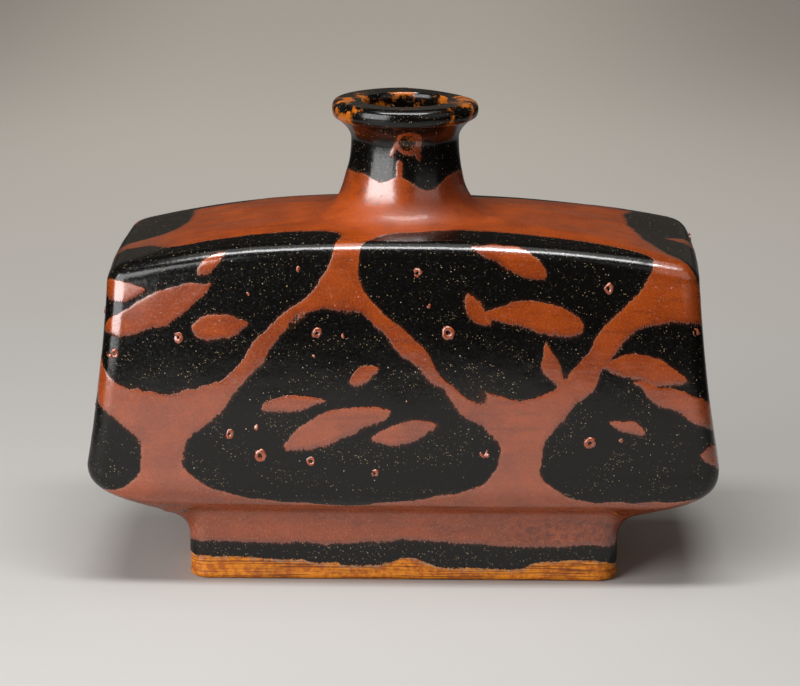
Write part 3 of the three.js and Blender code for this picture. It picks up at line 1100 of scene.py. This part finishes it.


# Colours of the glazes and the clay, among them the rust's painted highlight, sheen and shade

RUST_DEEP = color(0.24, 0.033, 0.0012)
RUST_WARM = color(0.35, 0.052, 0.002)
RUST_BRUSHED = color(0.145, 0.018, 0.001)
RUST_GRAIN = color(0.45, 0.100, 0.006)
RUST_SHADE = color(0.13, 0.016, 0.001)
RUST_PALE_SHEEN = color(0.50, 0.21, 0.12)
RUST_DARK_AND_SHADE = color(0.12, 0.014, 0.001)
RUST_PIT = color(0.07, 0.012, 0.003)
RUST_RIM_HIGHLIGHT = color(0.48, 0.13, 0.03)
BLACK = color(0.0024, 0.0021, 0.0019)
BLACK_EDGE = color(0.03, 0.008, 0.003)
BLACK_THIN = color(0.46, 0.12, 0.010)
CLAY_DEEP = color(0.50, 0.115, 0.003)
CLAY_WARM = color(0.84, 0.27, 0.004)
CLAY_LINE = color(0.13, 0.022, 0.001)
CLAY_GRIT = color(0.34, 0.075, 0.006)
CLAY_CRUST = color(0.44, 0.28, 0.18)
INSIDE_DEEP = color(0.36, 0.11, 0.02)
INSIDE_WARM = color(0.52, 0.19, 0.04)
INSIDE_GRIT = color(0.16, 0.05, 0.012)

# Specks in the black glaze: cells in a millimetre, size and colour
SPECKS = ((1.2, 0.34, color(0.32, 0.23, 0.11)), (0.55, 0.17, color(0.62, 0.52, 0.36)))

# Heights between which a pale grain comes into the rust, down towards the foot, partly a painted sheen
# of the lit floor mirrored in the lower rust
PALE_SHEEN_TOP = 70.0
PALE_SHEEN_FULL = 22.0

GLAZE_IOR = 1.54
COAT_IOR = 2.0
COAT_ROUGHNESS = 0.17
CLAY_ROUGHNESS = 0.65


def dark_rust_and_shade(n, place, depth, hanging):
    """How dark the rust is along hanging edges and at the foot's right end, with painted shade on the
    neck's right side.
    """
    at = n.separate(place)
    drip = n.times(n.ramp(depth, 2.4, 0.5, 0.0, 0.55), hanging)
    broken = n.times(n.ramp(at["Z"], FOOT_HEIGHT + 4, FOOT_HEIGHT), n.ramp(at["X"], 20, 65))
    broken = n.times(broken, n.ramp(n.noise(place, 0.42, 4, 0.7), 0.5, 0.58, 0.0, 0.8))
    # Painted shade: the rust low on the neck's right side is darkened, as on the side turned away from
    # the lamps
    side = n.ramp(at["X"], -3, 7, 0.0, 0.75)
    side = n.times(side, n.ramp(at["Z"], COLLAR_TOP - 13, COLLAR_TOP - 3))
    return n.most(side, n.most(drip, broken))


def rust_color(n, place, depth, hanging):
    """Iron rust: cloudy, brushed along the vase, grainy, with a pale painted sheen towards the foot,
    darker in places and in painted shade on the neck's right, and a painted highlight along its raised
    upper rims.
    """
    cloud = n.ramp(n.noise(place, 0.06, 5, 0.6), 0.35, 0.65)
    found = n.mix(cloud, RUST_DEEP, RUST_WARM)
    brushed = n.noise(n.stretched(place, (0.035, 0.3, 0.3)), 1.0, 4, 0.6)
    found = n.mix(n.ramp(brushed, 0.52, 0.70, 0.0, 0.5), found, RUST_BRUSHED)
    grain = n.noise(place, 2.0, 2, 0.65)
    found = n.mix(n.ramp(grain, 0.50, 0.72, 0.0, 0.55), found, RUST_GRAIN)
    found = n.mix(n.ramp(grain, 0.48, 0.28, 0.0, 0.5), found, RUST_SHADE)
    # Painted sheen: pale grain that grows towards the foot, standing partly for the lit floor mirrored
    # in the lower rust
    pale = n.ramp(n.separate(place)["Z"], PALE_SHEEN_TOP, PALE_SHEEN_FULL, 0.0, 0.42)
    pale = n.times(n.ramp(n.noise(place, 1.2, 2, 0.6), 0.52, 0.66), pale)
    found = n.mix(pale, found, RUST_PALE_SHEEN)
    found = n.mix(dark_rust_and_shade(n, place, depth, hanging), found, RUST_DARK_AND_SHADE)
    pits = n.ramp(n.noise(place, 1.1, 2, 0.6), 0.66, 0.74)
    found = n.mix(n.times(pits, 0.6), found, RUST_PIT)
    # Painted highlight: a pale line along the raised rims of the rust, strongest on its upper rims, as
    # if lit from above
    rim = n.times(n.ramp(depth, 0.1, 0.45), n.ramp(depth, 1.7, 0.55))
    rim = n.times(rim, n.minus(0.16, n.times(hanging, 0.15)))
    rim = n.times(rim, n.ramp(n.noise(place, 0.12, 2), 0.4, 0.6))
    return n.mix(rim, found, RUST_RIM_HIGHLIGHT), pits


def black_color(n, place, depth, thin):
    """Black iron glaze: brown at its edges, orange where it runs thin, full of fine specks."""
    found = n.mix(n.ramp(depth, -1.3, -0.1), BLACK, BLACK_EDGE)
    broken = n.add(thin, n.times(n.minus(n.noise(place, 0.5, 4, 0.7), 0.5), 1.1))
    found = n.mix(n.ramp(broken, 0.5, 0.8), found, BLACK_THIN)
    for scale, size, tint in SPECKS:
        speck, share = n.specks(place, scale, size)
        found = n.mix(n.times(speck, n.ramp(share, 0.45, 0.95, 0.0, 0.85)), found, tint)
    return found


def clay_color(n, place, bare):
    """Bare stoneware: mottled orange ruled by thin dark lines, with a pale crust at the glaze."""
    mottled = n.ramp(n.noise(place, 0.35, 4, 0.65), 0.36, 0.62)
    found = n.mix(mottled, CLAY_DEEP, CLAY_WARM)
    lines = n.noise(n.stretched(place, (0.03, 0.03, 1.7)), 1.0, 3, 0.6)
    found = n.mix(n.ramp(lines, 0.52, 0.59, 0.0, 0.85), found, CLAY_LINE)
    grit = n.ramp(n.noise(place, 1.3, 3), 0.56, 0.7, 0.0, 0.6)
    found = n.mix(grit, found, CLAY_GRIT)
    crust = n.ramp(n.noise(place, 0.6, 3), 0.38, 0.6, 0.0, 0.8)
    return n.mix(n.times(crust, n.ramp(bare, 1.9, 0.3)), found, CLAY_CRUST)


def glaze_height(n, place, is_rust, is_clay, pits):
    """Fine relief in millimetres: orange peel, brushed and pitted rust with pimples, lower clay."""
    peel = n.add(n.times(n.noise(place, 0.65, 2), 0.03), n.times(n.noise(place, 1.6, 1), 0.008))
    streaks = n.noise(n.stretched(place, (0.03, 0.35, 0.35)), 1.0, 3, 0.6)
    brushed = n.add(n.times(streaks, 0.06), n.times(n.noise(place, 2.1, 2), 0.016))
    height = n.add(peel, n.times(is_rust, n.add(brushed, 0.02)))
    pimple, share = n.specks(place, 0.3, 0.17)
    pimple = n.times(n.times(pimple, is_rust), n.ramp(share, 0.4, 0.9))
    height = n.add(n.add(height, n.times(pits, -0.05)), n.times(pimple, 0.09))
    return n.minus(height, n.times(is_clay, 0.12))


def glazed_stoneware():
    """Rust and black iron glaze over orange clay; depths on the mesh say which one shows."""
    material, n = new_material("glazed_stoneware")
    place = n.millimetres()
    hanging = n.attribute("hanging_edge")
    thin = n.attribute("thin_glaze")

    ragged = n.ragged(place, 0.55, 3)
    teeth = n.ragged(n.stretched(place, (1.9, 1.9, 0.5)), 1.0, 1)
    frayed = n.ragged(place, 1.7, 2)
    wander = n.add(n.times(ragged, 1.4), n.times(teeth, n.times(hanging, 2.6)))
    wander = n.add(wander, n.times(frayed, 1.2))
    depth = n.add(n.attribute("rust_depth"), wander)
    is_rust = n.ramp(depth, -0.12, 0.18)
    bare = n.add(n.attribute("clay_depth"), n.times(n.add(ragged, frayed), 1.8))
    is_clay = n.ramp(bare, -0.15, 0.2)

    rust_tint, pits = rust_color(n, place, depth, hanging)
    glaze_tint = n.mix(is_rust, black_color(n, place, depth, thin), rust_tint)
    grain = n.noise(place, 0.9, 3)
    rust_rough = n.add(n.ramp(grain, 0.3, 0.7, 0.20, 0.30), n.times(thin, 0.12))
    rust_rough = n.add(rust_rough, n.ramp(thin, 0.75, COLLAR_SATIN, 0.0, 0.12))
    black_rough = n.ramp(grain, 0.3, 0.7, 0.13, 0.22)
    glaze_rough = n.blend(is_rust, black_rough, rust_rough)
    glossy = n.minus(1.0, n.most(is_clay, n.times(thin, 0.95)))
    normal = n.bump(glaze_height(n, place, is_rust, is_clay, pits))
    n.set(
        Base_Color=n.mix(is_clay, glaze_tint, clay_color(n, place, bare)),
        Roughness=n.blend(is_clay, glaze_rough, CLAY_ROUGHNESS),
        IOR=GLAZE_IOR,
        Coat_Weight=n.times(is_rust, glossy),
        Coat_IOR=COAT_IOR,
        Coat_Roughness=COAT_ROUGHNESS,
        Normal=normal,
        Coat_Normal=normal,
    )
    return material


def bare_clay():
    """Unglazed inside of the vase: pressed orange clay with grit and finger marks."""
    material, n = new_material("bare_clay")
    place = n.millimetres()
    pressed = n.noise(place, 0.08, 4, 0.6)
    tint = n.mix(n.ramp(pressed, 0.35, 0.65), INSIDE_DEEP, INSIDE_WARM)
    grit = n.ramp(n.noise(place, 1.2, 3), 0.6, 0.72)
    n.set(
        Base_Color=n.mix(n.times(grit, 0.6), tint, INSIDE_GRIT),
        Roughness=n.ramp(pressed, 0.3, 0.7, 0.75, 0.9),
        Normal=n.bump(n.add(n.times(pressed, 0.5), n.times(grit, 0.1))),
    )
    return material


# Floor, light and camera, in metres

FLOOR_NEAR = -0.52
FLOOR_SIDE = 0.45
FLOOR_FADE = 0.15
FLOOR_HALF = 5.0
FLOOR_TINTS = (color(0.505, 0.49, 0.47), color(0.535, 0.52, 0.50))
FLOOR_PAST_EDGE = color(0.02, 0.02, 0.02)
FLOOR_MIRRORED = 0.26
FLOOR_GRAIN = 2.2
FLOOR_ROUGHNESS = 0.8
FLOOR_SPECULAR = 0.2
PALE = color(1.0, 0.90, 0.77)
ROOM_LIGHT = 0.025
BACKDROP_LIGHT = 0.38
BACKDROP_SHEEN = 0.06

# Glow of the floor towards the backdrop: from where to where, and how strong at both ends
GLOW_BEHIND = (-0.1, 1.05, 0.0, 0.30)
GLOW_BEYOND = (1.6, 0.9, 0.0, 0.36)
GLOW_MIDDLE = -0.09
GLOW_ASIDE = (0.08, 0.42, 0.0, 0.45)
GLOW_ASIDE_FROM = 0.3
GLOW_ASIDE_FULL = 1.4

# Lamps: place, target, width, height, watts and colour
LAMPS = {
    "overhead": ((0.0, -0.29, 0.93), (0, -0.03, 0.12), 0.72, 0.18, 6.8, (1, 1, 1)),
    "ceiling": ((0.0, -0.12, 1.0), (0, -0.02, 0.1), 0.8, 0.7, 2.2, (1, 0.99, 0.97)),
    "left_window": ((-0.70, -0.66, 0.40), (0, 0, 0.1), 0.88, 0.75, 10.2, (1, 1, 1)),
    "right_fill": ((0.72, -0.70, 0.62), (0, 0, 0.15), 1.0, 0.8, 0.9, (1, 0.98, 0.95)),
}

CAMERA_TARGET = Vector((-0.0022, 0, 0.093))
CAMERA_DISTANCE = 1.4
CAMERA_ELEVATION = math.radians(14.29)
CAMERA_YAW = math.radians(1.5)
CAMERA_LENS = 148.7
CAMERA_SENSOR = 36


def pale_floor():
    """A pale table top. Past its edges it is dark to the vase and pale to the camera."""
    material, n = new_material("pale_floor")
    place = n.node("ShaderNodeTexCoord").outputs["Object"]
    at = n.separate(place)
    near_to_far = at["Y"]
    lit = n.ramp(near_to_far, FLOOR_NEAR - FLOOR_FADE, FLOOR_NEAR)
    sideways = n.math("ABSOLUTE", at["X"])
    lit = n.times(lit, n.ramp(sideways, FLOOR_SIDE + FLOOR_FADE, FLOOR_SIDE))
    tint = n.mix(n.noise(place, FLOOR_GRAIN, 3), *FLOOR_TINTS)
    seen = n.node("ShaderNodeLightPath").outputs["Is Camera Ray"]
    mirrored = n.mix(FLOOR_MIRRORED, tint, color(0.0, 0.0, 0.0))
    tint = n.mix(seen, mirrored, tint)
    aside = n.ramp(n.math("ABSOLUTE", n.minus(at["X"], GLOW_MIDDLE)), *GLOW_ASIDE)
    aside = n.times(aside, n.ramp(near_to_far, GLOW_ASIDE_FROM, GLOW_ASIDE_FULL))
    behind = n.times(n.ramp(near_to_far, *GLOW_BEHIND), n.minus(1.0, aside))
    beyond = n.times(n.minus(1.0, lit), n.ramp(near_to_far, *GLOW_BEYOND))
    n.set(
        Base_Color=n.mix(lit, FLOOR_PAST_EDGE, tint),
        Roughness=FLOOR_ROUGHNESS,
        Specular_IOR_Level=FLOOR_SPECULAR,
        Emission_Color=PALE,
        Emission_Strength=n.times(seen, n.add(behind, beyond)),
    )
    return material


def make_floor():
    mesh = bpy.data.meshes.new("floor")
    side = FLOOR_HALF
    corners = [(-side, -side, 0), (side, -side, 0), (side, side, 0), (-side, side, 0)]
    mesh.from_pydata(corners, [], [(0, 1, 2, 3)])
    mesh.materials.append(pale_floor())
    new_object("floor", mesh)


def aim(made, place, direction):
    """Puts a lamp or camera in its place, looking in a direction."""
    made.location = place
    made.rotation_mode = "QUATERNION"
    made.rotation_quaternion = direction.to_track_quat("-Z", "Y")


def make_light(name, place, target, width, height, watts, tint):
    lamp = bpy.data.lights.new(name, "AREA")
    lamp.shape = "RECTANGLE"
    lamp.size = width
    lamp.size_y = height
    lamp.energy = watts
    lamp.color = tint
    aim(new_object(name, lamp), place, Vector(target) - Vector(place))


def make_world():
    """A dim room with a pale backdrop, which the camera sees and the glaze mirrors faintly."""
    world = bpy.data.worlds.new("room")
    world.use_nodes = True
    n = Nodes(world.node_tree)
    path = n.node("ShaderNodeLightPath").outputs
    heading = n.separate(n.node("ShaderNodeTexCoord").outputs["Generated"])
    sheen = n.times(n.ramp(heading["Y"], 0.2, 0.8), n.ramp(heading["Z"], 0.5, 0.25))
    sheen = n.times(n.times(sheen, path["Is Glossy Ray"]), BACKDROP_SHEEN)
    strength = n.blend(path["Is Camera Ray"], n.add(sheen, ROOM_LIGHT), BACKDROP_LIGHT)
    background = n.tree.nodes["Background"]
    n.put(background.inputs["Strength"], strength)
    n.put(background.inputs["Color"], PALE)
    bpy.context.scene.world = world


def make_camera():
    """The photograph's view: a long lens a little above the shoulder and just right of square."""
    level = math.cos(CAMERA_ELEVATION)
    sideways, back = math.sin(CAMERA_YAW) * level, math.cos(CAMERA_YAW) * level
    away = Vector((sideways, -back, math.sin(CAMERA_ELEVATION)))
    lens = bpy.data.cameras.new("camera")
    lens.sensor_width = CAMERA_SENSOR
    lens.lens = CAMERA_LENS
    camera = new_object("camera", lens)
    aim(camera, CAMERA_TARGET + CAMERA_DISTANCE * away, -away)
    bpy.context.scene.camera = camera


# Making the pieces

stoneware = glazed_stoneware()
make_half("front_half", 0, stoneware)
make_half("back_half", COLUMNS // 2, stoneware)

round_columns = np.arange(0, COLUMNS, ROUND_STEP)
coil_inside = -HIDDEN_DEPTH + JOINT_GAP
coil_back = [
    foot_ring(UNDERSIDE_MARGIN, FOOT_HEIGHT + 1.2, FACE_LIFT),
    foot_ring(coil_inside, FOOT_HEIGHT, FACE_LIFT),
    foot_ring(coil_inside, COIL_LOW + 1, FACE_LIFT),
]
coil_rows = row_range("foot", "coil")
make_ring("foot_coil", coil_rows, coil_back, np.arange(COLUMNS), "rust_glaze", stoneware)
collar_inside = neck_radius(COLLAR_TOP) - HIDDEN_DEPTH
collar_back = [
    round_row(collar_inside, COLLAR_TOP - 1),
    sunk(roof_row(collar_inside, 1), 1),
    sunk(roof_row(COLLAR_RADIUS - HIDDEN_DEPTH, 1), 1.5),
]
collar_front = row_range("roof", "collar")
make_ring("neck_collar", collar_front, collar_back, round_columns, "rust_glaze", stoneware)

# Share of the neck's bake for each of its two strips of skin, and where the second starts
NECK_BAKE_SHARE = 0.44
NECK_BAKE_SECOND = 0.5


def make_neck(material):
    """The neck's outside and bore are two strips of skin, so the lip can sit between them."""
    piece = Piece()
    closed = np.append(round_columns, round_columns[0])
    outside = piece.add_skin(row_range("collar", "neck"), closed, 0.0, NECK_BAKE_SHARE)
    bore = piece.add_skin(row_range("lip", "bore"), closed, NECK_BAKE_SECOND, NECK_BAKE_SHARE)
    piece.add_grid(np.concatenate([outside[-1:], bore[:1]]))
    root = [round_row(collar_inside - JOINT_GAP, EDGE_HEIGHT + ROOF_RISE)]
    root = piece.add_hidden(root, closed)
    piece.add_grid(np.concatenate([bore[-1:], root, outside[:1]]))
    return piece.make("neck", "black_glaze", material)


make_neck(stoneware)
lip_floor = round_row(lerp(MOUTH_RADIUS, LIP_SEAT_RADIUS, 0.5), LIP_SEAT_HEIGHT)
make_ring("lip", row_range("neck", "lip"), [lip_floor], round_columns, "black_glaze", stoneware)

first_mitre = END_COLUMNS // 2 + CORNER_COLUMNS // 2
mitres = [first_mitre, first_mitre + CORNER_COLUMNS + FACE_COLUMNS]
mitres += [column + COLUMNS // 2 for column in mitres]
for index, side in enumerate(("front", "left", "back", "right")):
    start = mitres[index]
    span = (mitres[(index + 1) % 4] - start) % COLUMNS
    make_strip(f"foot_{side}_strip", (start + np.arange(span + 1)) % COLUMNS, stoneware)

seam_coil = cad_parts["seam_coil"].data
seam_coil.materials.clear()
seam_coil.materials.append(bare_clay())

# Burst bubbles and blobs in the black glaze

BUBBLE_GROUND_DEPTH = -3.5
BUBBLE_SETTINGS = {
    "Bubble spacing": 0.015,
    "Bubble density": 1000.0,
    "Bubble radius": 0.0014,
    "Bubble rim": 0.0009,
    "Blob spacing": 0.010,
    "Blob density": 1500.0,
    "Blob radius": 0.0009,
    "Wobble size": 420.0,
    "Wobble depth": 0.0022,
}
BUBBLE_SEED = 7
BUBBLE_SIZES = (0.6, 1.25)
BUBBLE_STRETCH = (1.0, 1.2, 0.5)
BLOB_STRETCH = (1.0, 1.3, 0.45)
BUBBLE_VALUES = (5.0, NO_CLAY, 0.0, 0.0)
BOX_MARGIN = 0.0001


def bubble_ground():
    """The black parts of the body's walls, as a bare sheet for the bubbles to sit on."""
    picked = row_range("widest", "wall")
    black = rust[picked] < BUBBLE_GROUND_DEPTH
    wrapped = np.roll(black, -1, axis=1)
    inside = black[:-1] & black[1:] & wrapped[:-1] & wrapped[1:]
    numbers = np.arange(len(picked) * COLUMNS).reshape(len(picked), COLUMNS)
    following = np.roll(numbers, -1, axis=1)
    quads = np.stack([numbers[:-1], numbers[1:], following[1:], following[:-1]], axis=-1)
    mesh = bpy.data.meshes.new("bubble_ground")
    points = skin[picked].reshape(-1, 3) * METRES
    mesh.from_pydata(points.tolist(), [], quads[inside].tolist())
    return new_object("bubbles", mesh)


def bubble_tree(material):
    """Scatters small uneven rings and blobs over a sheet and makes them real."""
    tree = bpy.data.node_groups.new("bubbles", "GeometryNodeTree")
    tree.interface.new_socket("Geometry", in_out="INPUT", socket_type="NodeSocketGeometry")
    for name in BUBBLE_SETTINGS:
        tree.interface.new_socket(name, in_out="INPUT", socket_type="NodeSocketFloat")
    tree.interface.new_socket("Geometry", in_out="OUTPUT", socket_type="NodeSocketGeometry")
    n = Nodes(tree)
    given = n.node("NodeGroupInput").outputs

    def circle(resolution, radius):
        inputs = {"Resolution": resolution, "Radius": radius}
        return n.node("GeometryNodeCurvePrimitiveCircle", inputs).outputs["Curve"]

    def scatter(label, mesh, stretch, seed):
        """Stretched copies of a mesh, spread over the sheet in differing sizes."""
        shape = n.node("GeometryNodeTransform", {"Geometry": mesh, "Scale": stretch})
        inputs = {
            "Mesh": given["Geometry"],
            "Distance Min": given[f"{label} spacing"],
            "Density Max": given[f"{label} density"],
            "Seed": seed,
        }
        spread = n.node("GeometryNodeDistributePointsOnFaces", inputs, distribute_method="POISSON")
        low, high = BUBBLE_SIZES
        size = n.node("FunctionNodeRandomValue", {2: low, 3: high, "Seed": seed}, data_type="FLOAT")
        inputs = {
            "Points": spread.outputs["Points"],
            "Instance": shape.outputs["Geometry"],
            "Rotation": spread.outputs["Rotation"],
            "Scale": size.outputs[1],
        }
        return n.node("GeometryNodeInstanceOnPoints", inputs).outputs["Instances"]

    outline = {
        "Curve": circle(14, given["Bubble radius"]),
        "Profile Curve": circle(6, given["Bubble rim"]),
    }
    ring = n.node("GeometryNodeCurveToMesh", outline).outputs["Mesh"]
    ball = {"Radius": given["Blob radius"], "Subdivisions": 2}
    blob = n.node("GeometryNodeMeshIcoSphere", ball).outputs["Mesh"]
    joined = n.node("GeometryNodeJoinGeometry")
    n.put(joined.inputs["Geometry"], scatter("Bubble", ring, BUBBLE_STRETCH, BUBBLE_SEED))
    n.put(joined.inputs["Geometry"], scatter("Blob", blob, BLOB_STRETCH, BUBBLE_SEED + 1))

    place = n.node("GeometryNodeInputPosition").outputs["Position"]
    wobble = {"Vector": place, "Scale": given["Wobble size"], "Detail": 1.0}
    wobble = n.node("ShaderNodeTexNoise", wobble).outputs["Color"]
    middle = (0.5, 0.5, 0.5)
    shift = n.node("ShaderNodeVectorMath", {0: wobble, 1: middle}, operation="SUBTRACT")
    shift = {0: shift.outputs["Vector"], "Scale": given["Wobble depth"]}
    shift = n.node("ShaderNodeVectorMath", shift, operation="SCALE").outputs["Vector"]
    made = joined
    for kind, inputs in (
        ("GeometryNodeRealizeInstances", {}),
        ("GeometryNodeSetPosition", {"Offset": shift}),
        ("GeometryNodeSetShadeSmooth", {}),
        ("GeometryNodeSetMaterial", {"Material": material}),
        ("NodeGroupOutput", {}),
    ):
        made = n.node(kind, {"Geometry": made.outputs["Geometry"], **inputs})
    return tree


def press_into_box(mesh, low, high):
    """Flattens what stands out past the box of the solids."""
    points = np.zeros(len(mesh.vertices) * 3, np.float32)
    mesh.vertices.foreach_get("co", points)
    points = np.clip(points.reshape(-1, 3), np.add(low, BOX_MARGIN), np.subtract(high, BOX_MARGIN))
    mesh.vertices.foreach_set("co", points.astype(np.float32).ravel())
    mesh.update()


def make_bubbles(material):
    piece = bubble_ground()
    maker = piece.modifiers.new("bubbles", "NODES")
    maker.node_group = bubble_tree(material)
    for item in maker.node_group.interface.items_tree:
        if item.in_out == "INPUT" and item.name in BUBBLE_SETTINGS:
            maker[item.identifier] = BUBBLE_SETTINGS[item.name]
    made = piece.evaluated_get(bpy.context.evaluated_depsgraph_get())
    mesh = bpy.data.meshes.new_from_object(made)
    piece.modifiers.remove(maker)
    press_into_box(mesh, *cad_box)
    piece.data = mesh
    set_values(mesh, np.tile(BUBBLE_VALUES, (len(mesh.vertices), 1)))
    dress(piece, "rust_glaze")


make_bubbles(stoneware)

# Making the studio

make_floor()
for name, settings in LAMPS.items():
    make_light(name, *settings)
make_world()
make_camera()
bpy.context.scene.view_settings.view_transform = "Standard"
